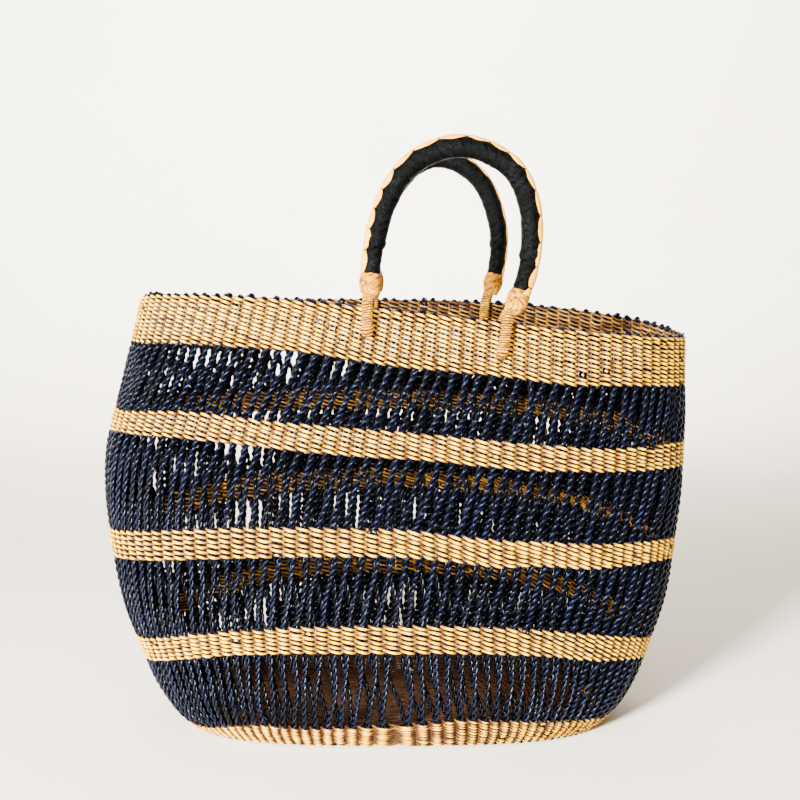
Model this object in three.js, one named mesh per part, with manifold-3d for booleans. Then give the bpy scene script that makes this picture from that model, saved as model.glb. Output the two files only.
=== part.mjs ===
// Woven market basket with two upright arched handles. Millimetres, +Z up.
// +X runs along the length of the basket, -Y is the front, Z = 0 is the surface it stands on.
import * as THREE from "three";
import { LoftGeometry } from "three/addons/geometries/LoftGeometry.js";
import { mergeVertices } from "three/addons/utils/BufferGeometryUtils.js";
import Module from "manifold-3d";

const wasm = await Module();
wasm.setup();

// ---- Driving dimensions ----

// Plan of the basket at a few heights. Each plan is a rounded oval with its own half length,
// half depth, sideways shift of its centre, and squareness (2 is an ellipse).
const plans = [
  { z: 0, halfLength: 157, halfDepth: 94, shift: -1, squareness: 3.0 },
  { z: 14, halfLength: 175, halfDepth: 102, shift: -1, squareness: 2.8 },
  { z: 46, halfLength: 194.5, halfDepth: 111, shift: -1, squareness: 2.5 },
  { z: 100, halfLength: 213.5, halfDepth: 118, shift: -2, squareness: 2.3 },
  { z: 165, halfLength: 223.5, halfDepth: 122, shift: -2.5, squareness: 2.2 },
  { z: 215, halfLength: 224.5, halfDepth: 120.5, shift: -0.5, squareness: 2.2 },
  { z: 265, halfLength: 218, halfDepth: 114, shift: 6, squareness: 2.15 },
  { z: 330, halfLength: 210, halfDepth: 105, shift: 13.5, squareness: 2.1 },
];

// Heights of the edges between the woven bands. Each edge is "middle" high at the centre of the
// front, rises by "tilt" toward the left end, and rises by "ends" at both ends. Toward the middle
// of the back it changes by "backRise", and its tilt changes by "backTilt".
const edges = {
  footTop: { middle: 20.5, tilt: -3, ends: -11, backRise: 0, backTilt: 0 },
  firstBandLow: { middle: 77, tilt: 1, ends: -25, backRise: 5, backTilt: 0 },
  firstBandHigh: { middle: 97.5, tilt: 0, ends: -30, backRise: 5, backTilt: 0 },
  secondBandLow: { middle: 145, tilt: 2.5, ends: -17, backRise: 12, backTilt: -1 },
  secondBandHigh: { middle: 166, tilt: 5.5, ends: -20.5, backRise: 8.5, backTilt: 0 },
  thirdBandLow: { middle: 218.5, tilt: 13.5, ends: -6.5, backRise: 8, backTilt: -12 },
  thirdBandHigh: { middle: 237.5, tilt: 13.5, ends: -7, backRise: 7, backTilt: -10.5 },
  rimLow: { middle: 283, tilt: 17, ends: -5, backRise: -0.5, backTilt: -12 },
  rimHigh: { middle: 320.5, tilt: 16, ends: -6.5, backRise: -0.5, backTilt: -14 },
};

const bandThickness = 6.2;
const latticeThickness = 5.2;
const floorThickness = 5;
const underEdge = 3; // height of the rounding under the foot
const underEdgeInset = 3;
const seam = 0.3; // clearance between neighbouring pieces
const edgingHeight = 3;
const edgingWidth = 5;

// Handle arches seen from the front: points along the centre line, measured from the middle of
// the hinge line, sideways then up. The back handle is a little lower and narrower.
const frontArchPoints = [
  [-50, 7.9],
  [-50, 24],
  [-46.5, 49],
  [-38.5, 76],
  [-25, 97.5],
  [-7, 109.5],
  [13, 113.8],
  [33, 109],
  [51, 96.5],
  [60.7, 76],
  [63.4, 56],
  [62.2, 36],
  [58, 17.2],
  [49.9, -2.9],
];
const backArchPoints = [
  [-49.7, 2.8],
  [-51.5, 17],
  [-52.6, 34],
  [-50.8, 52],
  [-44.4, 70],
  [-33.8, 89],
  [-20, 105],
  [-4, 113.6],
  [12, 112.8],
  [27.5, 105],
  [40.5, 91.5],
  [48.6, 73],
  [52.8, 54],
  [53, 38],
  [50.6, 21],
  [46.8, 1.2],
];
const hingeMiddleX = 32.5;
const hingeHalfSpan = 50; // from the middle of the hinge line to the neck of each loop
const hingeAboveEdging = 2;
const coreRadius = 4.6;
const leatherRadiusAtTop = 7.6;
const leatherRadiusAtEnds = 6.3;
const pipingHeight = 2.4;
const pipingWidth = 5;
const capLength = 18.5;
const capOverlap = 11; // how far the leather goes into a cap
const capTopRadius = 7.7;
const capBottomRadius = 6.9;
const capFloor = capLength - capOverlap;

// Grass-wrapped loop that joins each handle end to the rim.
const loopHalfWidth = 3.5;
const loopHalfDepth = 2.7;
const loopOffset = 6.7; // from the middle of the wall to the middle of a leg
const loopNeckOffset = 3.9; // the same, where the legs enter the cap
const loopBendRadius = 3.3;
const loopNeckLength = 5;
// Holes in the rim band: X from the middle of the hinge line, depth below the hinge line.
const loopHoles = { left: { x: -52.5, drop: 23 }, right: { x: 41.5, drop: 28 } };
const holeClearance = 0.9;

// ---- Mesh fineness ----
const ringSides = 44;
const archSteps = 26;
const tubeSides = 10;
const bendSteps = 4;

// ---- Materials ----
function material(name, color, roughness) {
  const made = new THREE.MeshStandardMaterial({ color, roughness, metalness: 0 });
  made.name = name;
  return made;
}
const straw = material("natural_straw", 0xd9b573, 0.65);
const navy = material("navy_cord", 0x1d2440, 0.5);
const blackLeather = material("black_leather", 0x17181a, 0.5);
const paleLeather = material("natural_leather", 0xe3b98c, 0.55);
const loopGrass = material("loop_grass", 0xd2a868, 0.65);

// ---- Shape of the wall ----

// Smooth value of one plan dimension at a height, from the plans above.
function planValue(key, z) {
  const last = plans.length - 2;
  let i = 0;
  while (i < last && z > plans[i + 1].z) i += 1;
  const [low, high] = [plans[i], plans[i + 1]];
  const slopeAt = (k) => {
    const before = plans[Math.max(k - 1, 0)];
    const after = plans[Math.min(k + 1, plans.length - 1)];
    return (after[key] - before[key]) / (after.z - before.z);
  };
  const span = high.z - low.z;
  const t = (z - low.z) / span;
  const rise = t * t * (3 - 2 * t);
  const leave = t * (1 - t) * (1 - t) * span * slopeAt(i);
  const arrive = t * t * (t - 1) * span * slopeAt(i + 1);
  return low[key] + (high[key] - low[key]) * rise + leave + arrive;
}

// Outward direction of the wall, level, at an angle round the basket.
function wallNormal(angle, z) {
  const a = planValue("halfLength", z);
  const b = planValue("halfDepth", z);
  const power = 2 - 2 / planValue("squareness", z);
  const nx = (Math.sign(Math.cos(angle)) * Math.abs(Math.cos(angle)) ** power) / a;
  const ny = (Math.sign(Math.sin(angle)) * Math.abs(Math.sin(angle)) ** power) / b;
  return new THREE.Vector3(nx, ny, 0).normalize();
}

// Point on the wall, "inset" inside its outer face.
function wallPoint(angle, z, inset) {
  const a = planValue("halfLength", z);
  const b = planValue("halfDepth", z);
  const power = 2 / planValue("squareness", z);
  const x = Math.sign(Math.cos(angle)) * Math.abs(Math.cos(angle)) ** power * a;
  const y = Math.sign(Math.sin(angle)) * Math.abs(Math.sin(angle)) ** power * b;
  const point = new THREE.Vector3(x + planValue("shift", z), y, z);
  return point.addScaledVector(wallNormal(angle, z), -inset);
}

// Height of a band edge at an angle round the basket.
function edgeHeight(edge, angle) {
  const along = Math.cos(angle);
  const backness = Math.max(0, Math.sin(angle));
  const tilt = edge.tilt + edge.backTilt * backness;
  const lean = -tilt * Math.sin((Math.PI / 2) * along);
  return edge.middle + lean + edge.ends * along * along + edge.backRise * backness;
}

// One level loop of wall points, "part" of the way from one edge up to the next.
function wallLoop(low, high, part, inset, lift = 0) {
  const points = [];
  for (let i = 0; i < ringSides; i += 1) {
    const angle = (i / ringSides) * 2 * Math.PI;
    const from = edgeHeight(low, angle);
    const z = from + (edgeHeight(high, angle) - from) * part + lift;
    points.push(wallPoint(angle, z, inset));
  }
  return points;
}

// Ring between two edges: up the outer face in "levels" steps, then down the inner face.
function wallRing(low, high, thickness, levels) {
  const outerInset = (bandThickness - thickness) / 2;
  const outer = [];
  const inner = [];
  for (let k = 0; k <= levels; k += 1) {
    const part = k / levels;
    const lift = seam / 2 - seam * part;
    outer.push(wallLoop(low, high, part, outerInset, lift));
    inner.unshift(wallLoop(low, high, part, outerInset + thickness, lift));
  }
  return new LoftGeometry([...outer, ...inner, outer[0]]);
}

// A loop of points drawn in to its centre, which closes a hollow with a floor facing up into it.
function drawnIn(points) {
  const centre = new THREE.Vector3();
  points.forEach((p) => centre.addScaledVector(p, 1 / points.length));
  return points.map(() => centre.clone());
}

function named(name, geometry, look) {
  const mesh = new THREE.Mesh(geometry, look);
  mesh.name = name;
  return mesh;
}

// ---- Boolean cuts ----
function toManifold(geometry) {
  const bare = new THREE.BufferGeometry();
  bare.setAttribute("position", geometry.getAttribute("position"));
  bare.setIndex(geometry.getIndex());
  const merged = mergeVertices(bare, 1e-3);
  const mesh = new wasm.Mesh({
    numProp: 3,
    vertProperties: merged.attributes.position.array,
    triVerts: new Uint32Array(merged.index.array),
  });
  return new wasm.Manifold(mesh);
}

function fromManifold(solid) {
  const mesh = solid.getMesh();
  const geometry = new THREE.BufferGeometry();
  geometry.setAttribute("position", new THREE.BufferAttribute(mesh.vertProperties, 3));
  geometry.setIndex(new THREE.BufferAttribute(mesh.triVerts, 1));
  geometry.computeVertexNormals();
  return geometry;
}

// ---- Basket body ----
const basket = new THREE.Group();
basket.name = "basket";

// Floor and foot in one weave: flat underside, rounded lower edge, short wall.
function basePiece() {
  const flat = { middle: 0, tilt: 0, ends: 0, backRise: 0, backTilt: 0 };
  const level = (z, inset) => wallLoop(flat, flat, 0, inset, z);
  const topOuter = wallLoop(edges.footTop, edges.footTop, 0, 0, -seam / 2);
  const topInner = wallLoop(edges.footTop, edges.footTop, 0, bandThickness, -seam / 2);
  const half = (from, to) => from.map((p, i) => p.clone().lerp(to[i], 0.5));
  const lowOuter = level(underEdge, 0);
  const floor = level(floorThickness, bandThickness);
  const sections = [
    level(0, underEdgeInset),
    lowOuter,
    half(lowOuter, topOuter),
    topOuter,
    topInner,
    floor,
    drawnIn(floor),
  ];
  return new LoftGeometry(sections, { capStart: true });
}
basket.add(named("woven_base", basePiece(), straw));

const lattices = [
  ["open_lattice_1", edges.footTop, edges.firstBandLow],
  ["open_lattice_2", edges.firstBandHigh, edges.secondBandLow],
  ["open_lattice_3", edges.secondBandHigh, edges.thirdBandLow],
  ["open_lattice_4", edges.thirdBandHigh, edges.rimLow],
];
for (const [name, low, high] of lattices) {
  basket.add(named(name, wallRing(low, high, latticeThickness, 2), navy));
}

const bands = [
  ["twined_band_1", edges.firstBandLow, edges.firstBandHigh],
  ["twined_band_2", edges.secondBandLow, edges.secondBandHigh],
  ["twined_band_3", edges.thirdBandLow, edges.thirdBandHigh],
];
for (const [name, low, high] of bands) {
  basket.add(named(name, wallRing(low, high, bandThickness, 1), straw));
}

// ---- Where the handles meet the rim ----

// Angle round the basket at which the rim passes a given X, on the front (-1) or back (+1).
function angleAtX(x, side, z) {
  const across = (x - planValue("shift", z)) / planValue("halfLength", z);
  const along = Math.sign(across) * Math.abs(across) ** (planValue("squareness", z) / 2);
  return side * Math.acos(along);
}

// Middle of the wall at a given X and depth below the top of the rim edging.
function rimMiddle(x, side, below) {
  const roughAngle = angleAtX(x, side, edges.rimHigh.middle);
  const z = edgeHeight(edges.rimHigh, roughAngle) + edgingHeight - below;
  const angle = angleAtX(x, side, z);
  return { point: wallPoint(angle, z, bandThickness / 2), normal: wallNormal(angle, z) };
}

// Hinge line of a handle: through the necks of its two loops, just above the rim.
function hingeOf(side) {
  const left = rimMiddle(hingeMiddleX - hingeHalfSpan, side, -hingeAboveEdging).point;
  const right = rimMiddle(hingeMiddleX + hingeHalfSpan, side, -hingeAboveEdging).point;
  const middle = left.clone().lerp(right, 0.5);
  const axis = right.clone().sub(left).normalize();
  return { middle, axis };
}

// Where one loop passes through the rim band.
function loopHole(side, end) {
  const { x, drop } = loopHoles[end];
  return rimMiddle(hingeMiddleX + x, side, drop - hingeAboveEdging);
}

// ---- Rim ----
function loopHoleCutter(hole) {
  const cutter = new THREE.CylinderGeometry(1, 1, 4 * bandThickness, 12);
  cutter.scale(loopHalfWidth + holeClearance, 1, loopHalfDepth + holeClearance);
  const turn = new THREE.Quaternion();
  turn.setFromUnitVectors(new THREE.Vector3(0, 1, 0), hole.normal);
  cutter.applyQuaternion(turn);
  cutter.translate(hole.point.x, hole.point.y, hole.point.z);
  return toManifold(cutter);
}

let rim = toManifold(wallRing(edges.rimLow, edges.rimHigh, bandThickness, 2));
for (const side of [-1, 1]) {
  for (const end of ["left", "right"]) {
    rim = rim.subtract(loopHoleCutter(loopHole(side, end)));
  }
}
basket.add(named("rim_band", fromManifold(rim), straw));

function edgingPiece() {
  const top = edges.rimHigh;
  const nearInset = (bandThickness - edgingWidth) / 2;
  const farInset = nearInset + edgingWidth;
  const shoulder = edgingWidth / 5;
  const outerLow = wallLoop(top, top, 0, nearInset, seam / 2);
  const outerHigh = wallLoop(top, top, 0, nearInset + shoulder, edgingHeight);
  const innerHigh = wallLoop(top, top, 0, farInset - shoulder, edgingHeight);
  const innerLow = wallLoop(top, top, 0, farInset, seam / 2);
  return new LoftGeometry([outerLow, outerHigh, innerHigh, innerLow, outerLow]);
}
basket.add(named("rim_edging", edgingPiece(), navy));

// ---- Handles ----

// Ring of points round a centre: "across" is one half-width, "out" the other.
function ovalSection(centre, acrossDir, outDir, across, out, sides = tubeSides) {
  const points = [];
  for (let i = 0; i < sides; i += 1) {
    const angle = (i / sides) * 2 * Math.PI;
    const point = centre.clone();
    point.addScaledVector(acrossDir, across * Math.cos(angle));
    point.addScaledVector(outDir, out * Math.sin(angle));
    points.push(point);
  }
  return points;
}

// Arch centre line in the handle's own frame: X along the basket, Z up, Y through the handle.
function makeArch(points) {
  const line = points.map(([x, z]) => new THREE.Vector3(x, 0, z));
  const curve = new THREE.CatmullRomCurve3(line, false, "centripetal");
  curve.arcLengthDivisions = 400;
  return { curve, length: curve.getLength() };
}
const through = new THREE.Vector3(0, 1, 0);

// Centre and inward direction of an arch at a distance along it.
function archStation(arch, distance) {
  const u = distance / arch.length;
  const centre = arch.curve.getPointAt(u);
  const along = arch.curve.getTangentAt(u);
  const inward = new THREE.Vector3().crossVectors(along, through).negate();
  return { centre, inward };
}

function leatherRadius(arch, distance) {
  const swell = Math.sin((Math.PI * distance) / arch.length) ** 0.7;
  return leatherRadiusAtEnds + (leatherRadiusAtTop - leatherRadiusAtEnds) * swell;
}

// Distances along an arch, from a margin after its start to the same margin before its end.
function archStations(arch, margin) {
  const span = arch.length - 2 * margin;
  return Array.from({ length: archSteps + 1 }, (_, i) => margin + (span * i) / archSteps);
}

function archRing(arch, distance, radius) {
  const { centre, inward } = archStation(arch, distance);
  return ovalSection(centre, inward, through, radius, radius);
}

function corePiece(arch) {
  const stations = archStations(arch, capFloor + seam);
  const sections = stations.map((s) => archRing(arch, s, coreRadius));
  return new LoftGeometry(sections, { capStart: true, capEnd: true });
}

function leatherPiece(arch) {
  const stations = archStations(arch, capFloor + seam);
  const outer = stations.map((s) => archRing(arch, s, leatherRadius(arch, s)));
  const inner = stations.map((s) => archRing(arch, s, coreRadius + seam)).reverse();
  return new LoftGeometry([...outer, ...inner, outer[0]]);
}

// Flat-backed strip along the outside of the arch.
function pipingPiece(arch) {
  const sections = archStations(arch, capLength + seam).map((s) => {
    const { centre, inward } = archStation(arch, s);
    const back = leatherRadius(arch, s) + 2 * seam;
    const at = (depth, side) => {
      const point = centre.clone().addScaledVector(inward, -depth);
      return point.addScaledVector(through, side);
    };
    const half = pipingWidth / 2;
    return [
      at(back, -half),
      at(back, half),
      at(back + pipingHeight * 0.6, half * 0.8),
      at(back + pipingHeight, 0),
      at(back + pipingHeight * 0.6, -half * 0.8),
    ];
  });
  return new LoftGeometry(sections, { capStart: true, capEnd: true });
}

// Cup of leather tied over one end of the arch.
function capPiece(arch, fromEnd) {
  const ring = (height, radius) => {
    const distance = fromEnd ? arch.length - height : height;
    return archRing(arch, distance, radius);
  };
  const boreRadius = leatherRadius(arch, capLength) + seam;
  const sections = [
    ring(0, capBottomRadius - 0.6),
    ring(1.2, capBottomRadius),
    ring(capLength * 0.5, capTopRadius + 0.3),
    ring(capLength, capTopRadius),
    ring(capLength, boreRadius),
    ring(capFloor, boreRadius),
    drawnIn(ring(capFloor, boreRadius)),
  ];
  if (fromEnd) sections.forEach((points) => points.reverse());
  return new LoftGeometry(sections, { capStart: true });
}

// Loop of wrapped grass rope: down outside the rim, in through the hole, and up inside.
// "neck" is the middle of the cap's lower face, and "rise" the direction the cap points up.
function loopPiece(side, end, neck, rise) {
  const hole = loopHole(side, end);
  const up = neck.clone().sub(hole.point).normalize();
  const squareTo = (dir) => hole.normal.clone().addScaledVector(dir, -hole.normal.dot(dir)).normalize();
  const out = squareTo(up);
  const neckOut = squareTo(rise);
  const wide = new THREE.Vector3().crossVectors(out, up);
  const height = neck.distanceTo(hole.point);
  const legPath = (sign) => {
    const at = (offset, lift) => {
      const point = hole.point.clone().addScaledVector(out, sign * offset);
      return point.addScaledVector(up, lift);
    };
    const points = [neck.clone().addScaledVector(neckOut, sign * loopNeckOffset)];
    points.push(at(loopOffset, height - loopNeckLength));
    for (let i = 0; i <= bendSteps; i += 1) {
      const turn = (i / bendSteps) * (Math.PI / 2);
      const reach = loopBendRadius * (1 - Math.cos(turn));
      points.push(at(loopOffset - reach, loopBendRadius * (1 - Math.sin(turn))));
    }
    return points;
  };
  const path = [...legPath(1), ...legPath(-1).reverse()];
  const sections = path.map((point, i) => {
    const before = path[Math.max(i - 1, 0)];
    const after = path[Math.min(i + 1, path.length - 1)];
    const along = after.clone().sub(before).normalize();
    if (i === 0) along.copy(rise).negate();
    if (i === path.length - 1) along.copy(rise);
    const across = wide.clone().addScaledVector(along, -wide.dot(along)).normalize();
    const deep = new THREE.Vector3().crossVectors(along, across);
    return ovalSection(point, across, deep, loopHalfWidth, loopHalfDepth);
  });
  return new LoftGeometry(sections, { capStart: true, capEnd: true });
}

function addHandle(side, name, archPoints) {
  const hinge = hingeOf(side);
  const arch = makeArch(archPoints);
  const handle = new THREE.Group();
  handle.name = name;
  handle.position.copy(hinge.middle);
  handle.rotation.z = Math.atan2(hinge.axis.y, hinge.axis.x);
  handle.add(named(`${name}_core`, corePiece(arch), loopGrass));
  handle.add(named(`${name}_leather`, leatherPiece(arch), blackLeather));
  handle.add(named(`${name}_piping`, pipingPiece(arch), paleLeather));
  handle.add(named(`${name}_cap_left`, capPiece(arch, false), paleLeather));
  handle.add(named(`${name}_cap_right`, capPiece(arch, true), paleLeather));
  handle.updateMatrixWorld(true);
  basket.add(handle);
  for (const end of ["left", "right"]) {
    const u = end === "left" ? 0 : 1;
    const rise = arch.curve.getTangentAt(u).multiplyScalar(1 - 2 * u);
    rise.transformDirection(handle.matrixWorld);
    const neck = handle.localToWorld(arch.curve.getPointAt(u)).addScaledVector(rise, -seam);
    basket.add(named(`${name}_loop_${end}`, loopPiece(side, end, neck, rise), loopGrass));
  }
}
addHandle(-1, "front_handle", frontArchPoints);
addHandle(1, "back_handle", backArchPoints);

export default basket;
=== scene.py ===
"""Looks of the woven market basket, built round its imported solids. Lengths are worked out in
millimetres and turned into metres when a mesh is made."""

import math

import bpy
import numpy as np
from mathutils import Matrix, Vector


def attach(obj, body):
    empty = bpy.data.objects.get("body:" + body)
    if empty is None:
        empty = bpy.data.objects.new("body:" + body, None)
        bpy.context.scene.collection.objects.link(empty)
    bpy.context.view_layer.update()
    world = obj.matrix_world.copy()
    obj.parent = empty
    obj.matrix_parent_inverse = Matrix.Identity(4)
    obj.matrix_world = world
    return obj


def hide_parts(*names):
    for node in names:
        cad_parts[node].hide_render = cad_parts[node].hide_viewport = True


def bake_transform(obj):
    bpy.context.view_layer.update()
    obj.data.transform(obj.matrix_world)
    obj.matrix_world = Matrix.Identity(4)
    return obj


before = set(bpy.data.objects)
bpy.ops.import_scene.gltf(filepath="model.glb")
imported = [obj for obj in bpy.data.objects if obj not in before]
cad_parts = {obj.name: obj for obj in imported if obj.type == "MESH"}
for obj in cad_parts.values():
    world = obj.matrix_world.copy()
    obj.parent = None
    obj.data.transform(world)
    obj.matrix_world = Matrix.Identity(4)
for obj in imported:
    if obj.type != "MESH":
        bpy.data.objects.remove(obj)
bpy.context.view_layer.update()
MM = 0.001  # metres in a millimetre
TURN = 2 * math.pi
UP = np.array([0, 0, 1.0])
grain_start = np.random.default_rng(7)  # shifts the grain along each strand

# ---------------------------------------------------------------- sizes, in millimetres

# Plan of the wall by height: z, half length, half depth, sideways shift, squareness.
PLANS = np.array(
    [
        (0, 157, 94, -1, 3.0),
        (14, 175, 102, -1, 2.8),
        (46, 194.5, 111, -1, 2.5),
        (100, 213.5, 118, -2, 2.3),
        (165, 223.5, 122, -2.5, 2.2),
        (215, 224.5, 120.5, -0.5, 2.2),
        (265, 218, 114, 6, 2.15),
        (330, 210, 105, 13.5, 2.1),
    ],
    float,
)
# Band edges: height at the middle of the front, rise toward the left end, rise at both ends,
# then rise and change of tilt toward the middle of the back.
EDGES = {
    "foot": (20.5, -3, -11, 0, 0),
    "first_low": (77, 1, -25, 5, 0),
    "first_high": (97.5, 0, -30, 5, 0),
    "second_low": (145, 2.5, -17, 12, -1),
    "second_high": (166, 5.5, -20.5, 8.5, 0),
    "third_low": (218.5, 13.5, -6.5, 8, -12),
    "third_high": (237.5, 13.5, -7, 7, -10.5),
    "rim_low": (283, 17, -5, -0.5, -12),
    "rim_high": (320.5, 16, -6.5, -0.5, -14),
}
LEFT_END_DIP = 6.5  # of the rim's top edge, at the left end
HALF_WALL = 3.1  # from the outside of the wall to its middle
BAND_ROWS = 6
RIM_ROWS = 12
FOOT_ROWS = 9
FOOT_START = 3.2  # where the rows of the foot start
LOWEST_CORD = 2.5  # height that no cord's centre line goes below
COLUMNS = 114  # stakes round the basket; even, so that the two wefts of a row meet
SAMPLES = 6  # points of a weft in each column
WEFT_REACH = 2.45  # from the middle of the wall to a weft's centre line at its crown
PLATEAU = 0.62  # power that flattens a weft's wave, so that it turns quickly between crowns
TUCKED = 0.014  # share of stitches that have slipped in between the stakes
CORD = 4.1  # thickness of a two-ply cord
TWIST = 11.8  # length of a full turn of a cord's plies
# How far the columns have drifted sideways at each level, in columns.
DRIFT = {"foot": 0.0, "first": -0.6, "second": -0.9, "third": -1.3, "rim": -1.8}

# ---------------------------------------------------------------- shape of the wall


def plan_value(column, z):
    """Smooth value of one plan dimension at heights z."""
    zs, v = PLANS[:, 0], PLANS[:, column]
    n = len(zs)
    slope = np.array(
        [
            (v[min(k + 1, n - 1)] - v[max(k - 1, 0)])
            / (zs[min(k + 1, n - 1)] - zs[max(k - 1, 0)])
            for k in range(n)
        ]
    )
    i = np.clip(np.searchsorted(zs, z) - 1, 0, n - 2)
    span = zs[i + 1] - zs[i]
    t = np.clip((z - zs[i]) / span, 0, 1.1)
    rise = t * t * (3 - 2 * t)
    leave = t * (1 - t) ** 2 * span * slope[i]
    arrive = t * t * (t - 1) * span * slope[i + 1]
    return v[i] + (v[i + 1] - v[i]) * rise + leave + arrive


def signed_power(x, p):
    return np.sign(x) * np.abs(x) ** p


def unit(v):
    return v / np.maximum(np.linalg.norm(v, axis=-1, keepdims=True), 1e-9)


def round_angles(count):
    return np.arange(count) / count * TURN


def path_length(points):
    """Length from the start of each path (..., point, 3) to each of its points."""
    steps = np.diff(points, axis=-2, prepend=points[..., :1, :])
    return np.cumsum(np.linalg.norm(steps, axis=-1), -1)


def wall_raw(angle, z):
    """Points on the outside of the wall, at an angle round the basket and a height."""
    power = 2 / plan_value(4, z)
    x = signed_power(np.cos(angle), power) * plan_value(1, z) + plan_value(3, z)
    y = signed_power(np.sin(angle), power) * plan_value(2, z)
    return np.stack([x, y, z + 0 * x], -1)


def flat_normal(angle, z):
    """Level outward direction of the wall."""
    power = 2 - 2 / plan_value(4, z)
    nx = signed_power(np.cos(angle), power) / plan_value(1, z)
    ny = signed_power(np.sin(angle), power) / plan_value(2, z)
    return unit(np.stack([nx, ny, 0 * nx], -1))


def wall_frame(angle, z, inset=HALF_WALL):
    """Points inside the wall with the outward, sideways and upward directions there."""
    angle, z = np.broadcast_arrays(np.asarray(angle, float), np.asarray(z, float))
    level = flat_normal(angle, z)
    above, below = (wall_raw(angle, np.maximum(z + step, 0.1)) for step in (2.0, -2.0))
    up = unit(above - below + UP * 1e-6)
    side = unit(np.cross(UP, level))
    out = unit(np.cross(side, up))
    return wall_raw(angle, z) - inset * level, out, side, up


# Unevenness of the hand work along the front of some edges: x, and height above the even edge.
WAVES = {
    "rim_low": [
        (-189, -1.4), (-168, 0.2), (-118, 0.7), (-68, 1.9), (3, -1.6),
        (74, -0.1), (128, -2.0), (150, -1.0), (160, 0.8), (207, 0.5),
    ],
    "third_high": [
        (-203, -1.5), (-159, 2.2), (-90, -0.5), (-6, 0.4), (146, -1.6), (168, -1), (199, 2),
    ],
    "third_low": [(-150, 1.0), (-60, -0.8), (20, 0.6), (100, -1.0), (180, 1.2)],
    "second_high": [(-206, 0.5), (3, 2.8), (74, -1.8), (103, -1.4), (148, -0.6), (199, 4)],
    "second_low": [
        (-206, -1.2), (3, 3.6), (42, 0.9), (76, -3.4), (95, -0.6), (147, -2.2), (194, 3),
    ],
    "first_low": [(-180, -2.5), (-120, 0.5), (3, -0.9), (110, 0.5), (147, -1.4), (179, 1.2)],
    "foot": [
        (-147, -2.4), (-102, 1.2), (-66, -2.6), (3, -1.5), (47, 3.4), (91, 0.4), (127, -1.4),
    ],
}


def edge_height(name, angle):
    """Height of a band edge at angles round the basket."""
    middle, tilt, ends, back_rise, back_tilt = EDGES[name]
    along = np.cos(angle)
    backness = np.maximum(np.sin(angle), 0)
    lean = (tilt + back_tilt * backness) * np.sin(math.pi / 2 * along)
    even = middle - lean + ends * along**2 + back_rise * backness
    if name == "rim_high":
        from_left_end = (angle % TURN) - math.pi
        even = even - LEFT_END_DIP * np.exp(-((from_left_end / 0.2) ** 2))
    if name not in WAVES:
        return even
    x = wall_raw(angle, even)[..., 0]
    front = np.clip(-np.sin(angle) / 0.3, 0, 1)
    places, rises = np.array(WAVES[name], float).T
    fine = np.linspace(-230, 230, 231)
    rough = np.interp(fine, places, rises)
    soft = np.convolve(np.pad(rough, 6, "edge"), np.hanning(15)[1:-1] / 7, "valid")
    return even + front * front * (3 - 2 * front) * np.interp(x, fine, soft)


# Angle at each column, evenly spaced along the belly of the basket.
BELLY_ANGLES = np.linspace(0, TURN, 4001)
BELLY_REACH = path_length(wall_raw(BELLY_ANGLES, 0 * BELLY_ANGLES + 180))


def angle_at(s):
    """Angle round the basket of column position s, which may be a fraction."""
    turns = np.floor(s / COLUMNS)
    part = s / COLUMNS - turns
    return np.interp(part * BELLY_REACH[-1], BELLY_REACH, BELLY_ANGLES) + turns * TURN


def wobble(n, octaves, seed_rng, power=1.0):
    """Smooth closed random curve with n samples, about -1 to 1."""
    t = round_angles(n)
    total = np.zeros(n)
    for k in octaves:
        total += np.sin(k * t + seed_rng.uniform(0, TURN)) / k**power
    return total / np.abs(total).max()


# ---------------------------------------------------------------- meshes


def add_object(name, data):
    made = bpy.data.objects.new(name, data)
    bpy.context.scene.collection.objects.link(made)
    return made


def make_mesh(name, verts, polygons, uvs=None, floats=None, vectors=None):
    """Object from millimetre points and a list of equal-sided polygon arrays."""
    mesh = bpy.data.meshes.new(name)
    mesh.vertices.add(len(verts))
    mesh.vertices.foreach_set("co", (verts * MM).astype(np.float32).ravel())
    loops = np.concatenate([p.ravel() for p in polygons]).astype(np.int32)
    sizes = np.concatenate([np.full(len(p), p.shape[1]) for p in polygons])
    starts = np.concatenate([[0], np.cumsum(sizes)[:-1]]).astype(np.int32)
    mesh.loops.add(len(loops))
    mesh.loops.foreach_set("vertex_index", loops)
    mesh.polygons.add(len(sizes))
    mesh.polygons.foreach_set("loop_start", starts)
    mesh.polygons.foreach_set("use_smooth", np.ones(len(sizes), bool))
    for key, values in (floats or {}).items():
        attribute = mesh.attributes.new(key, "FLOAT", "POINT")
        attribute.data.foreach_set("value", values.astype(np.float32).ravel())
    for key, values in (vectors or {}).items():
        attribute = mesh.attributes.new(key, "FLOAT_VECTOR", "POINT")
        attribute.data.foreach_set("vector", values.astype(np.float32).ravel())
    if uvs is not None:
        layer = mesh.uv_layers.new(name="OFBake")
        layer.uv.foreach_set("vector", uvs.astype(np.float32).ravel())
    mesh.update(calc_edges=True)
    mesh.validate()
    return add_object(name, mesh)


def quad_uvs(*corners):
    """UVs of quads, from the u and v of each of their four corners."""
    return np.stack([np.stack(corner, -1) for corner in corners], -2).reshape(-1, 2)


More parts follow.
